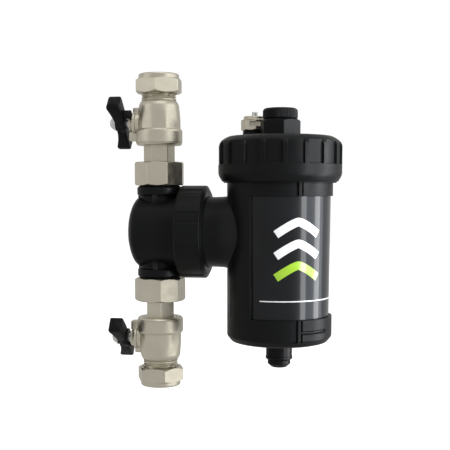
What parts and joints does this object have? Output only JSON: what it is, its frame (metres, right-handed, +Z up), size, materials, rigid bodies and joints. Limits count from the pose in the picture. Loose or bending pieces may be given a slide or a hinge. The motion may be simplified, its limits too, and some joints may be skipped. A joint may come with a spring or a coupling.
{
  "type": "magnetic system filter",
  "caption": "Heating system magnetic filter: upright screw-lidded canister on a side union, with a diverter between two isolating ball valves.",
  "frame": {"origin": "middle of the diverter, where the vertical flow axis meets the horizontal union axis", "axes": "+Z up along the flow column, +X along the union towards the canister, the levers on -X"},
  "size_m": [0.1764, 0.0918, 0.2372],
  "materials": {
    "black_plastic": "fine moulded satin",
    "label_gloss": "glossy printed film",
    "lever_plastic": "satin moulded",
    "nickel_plate": "nickel-plated forged and turned brass, satin",
    "brass": "plain turned brass",
    "chrome_ball": "polished",
    "steel": "zinc bright",
    "magnet_plate": "nickel-coated magnet",
    "rubber": "matt",
    "ptfe": "matt white",
    "fibre": "matt fibre"
  },
  "bodies": {
    "diverter": {"diverter_housing": "black_plastic", "flow_divider": "black_plastic", "union_o_ring": "rubber", "upper_valve_body": "nickel_plate", "upper_tailpiece": "nickel_plate", "upper_union_washer": "fibre", "upper_outer_seat": "ptfe", "upper_inner_seat": "ptfe", "upper_gland_nut": "brass", "upper_olive": "brass", "lower_valve_body": "nickel_plate", "lower_tailpiece": "nickel_plate", "lower_union_washer": "fibre", "lower_outer_seat": "ptfe", "lower_inner_seat": "ptfe", "lower_gland_nut": "brass", "lower_olive": "brass"},
    "upper_lever": {"upper_valve_handle": "lever_plastic", "upper_lever_nut": "steel", "upper_valve_stem": "steel", "upper_valve_ball": "chrome_ball"},
    "upper_union_nut": {"upper_union_nut": "nickel_plate"},
    "upper_compression_nut": {"upper_compression_nut": "nickel_plate"},
    "lower_lever": {"lower_valve_handle": "lever_plastic", "lower_lever_nut": "steel", "lower_valve_stem": "steel", "lower_valve_ball": "chrome_ball"},
    "lower_union_nut": {"lower_union_nut": "nickel_plate"},
    "lower_compression_nut": {"lower_compression_nut": "nickel_plate"},
    "union_ring": {"union_ring": "black_plastic"},
    "canister": {"canister_body": "black_plastic", "label_panel": "label_gloss", "drain_washer": "rubber"},
    "drain_plug": {"drain_plug": "black_plastic"},
    "lid": {"lid_plate": "black_plastic", "lid_o_ring": "rubber", "magnet_sheath": "brass", "hex_plug": "black_plastic", "vent_base": "black_plastic", "vent_body": "nickel_plate"},
    "lid_ring": {"lid_ring": "black_plastic"},
    "bleed_screw": {"bleed_screw": "steel"},
    "magnet": {"magnet_rod": "steel", "magnet_1": "magnet_plate", "magnet_2": "magnet_plate", "magnet_3": "magnet_plate", "magnet_4": "magnet_plate", "pole_piece_1": "steel", "pole_piece_2": "steel", "pole_piece_3": "steel"},
    "knurled_cap": {"knurled_cap": "black_plastic"}
  },
  "joints": [
    {"name": "upper_lever_turn", "type": "hinge", "parent": "diverter", "child": "upper_lever", "pos_m": [0, 0, 0.0822], "axis": [1, 0, 0], "range_deg": [-48, 42]},
    {"name": "upper_union_nut_turn", "type": "hinge", "parent": "diverter", "child": "upper_union_nut", "pos_m": [0, 0, 0.044], "axis": [0, 0, 1], "continuous": true},
    {"name": "upper_compression_nut_turn", "type": "hinge", "parent": "diverter", "child": "upper_compression_nut", "pos_m": [0, 0, 0.11], "axis": [0, 0, 1], "continuous": true},
    {"name": "lower_lever_turn", "type": "hinge", "parent": "diverter", "child": "lower_lever", "pos_m": [0, 0, -0.0822], "axis": [1, 0, 0], "range_deg": [-55, 35]},
    {"name": "lower_union_nut_turn", "type": "hinge", "parent": "diverter", "child": "lower_union_nut", "pos_m": [0, 0, -0.044], "axis": [0, 0, 1], "continuous": true},
    {"name": "lower_compression_nut_turn", "type": "hinge", "parent": "diverter", "child": "lower_compression_nut", "pos_m": [0, 0, -0.11], "axis": [0, 0, 1], "continuous": true},
    {"name": "union_ring_turn", "type": "hinge", "parent": "diverter", "child": "union_ring", "pos_m": [0.0265, 0, 0], "axis": [1, 0, 0], "continuous": true},
    {"name": "canister_swivel", "type": "hinge", "parent": "diverter", "child": "canister", "pos_m": [0.0265, 0, 0], "axis": [1, 0, 0], "continuous": true},
    {"name": "drain_plug_turn", "type": "hinge", "parent": "canister", "child": "drain_plug", "pos_m": [0.092, 0, -0.095], "axis": [0, 0, 1], "continuous": true},
    {"name": "lid_lift", "type": "slide", "parent": "canister", "child": "lid", "axis": [0, 0, 1], "range_m": [0, 0.15]},
    {"name": "lid_ring_turn", "type": "hinge", "parent": "lid", "child": "lid_ring", "pos_m": [0.092, 0, 0.055], "axis": [0, 0, 1], "continuous": true},
    {"name": "bleed_screw_turn", "type": "hinge", "parent": "lid", "child": "bleed_screw", "pos_m": [0.071, 0.016, 0.088], "axis": [0, 0, 1], "range_deg": [0, 720]},
    {"name": "magnet_pull", "type": "slide", "parent": "lid", "child": "magnet", "axis": [0, 0, 1], "range_m": [0, 0.15]},
    {"name": "knurled_cap_turn", "type": "hinge", "parent": "magnet", "child": "knurled_cap", "pos_m": [0.092, 0, 0.088], "axis": [0, 0, 1], "continuous": true}
  ]
}
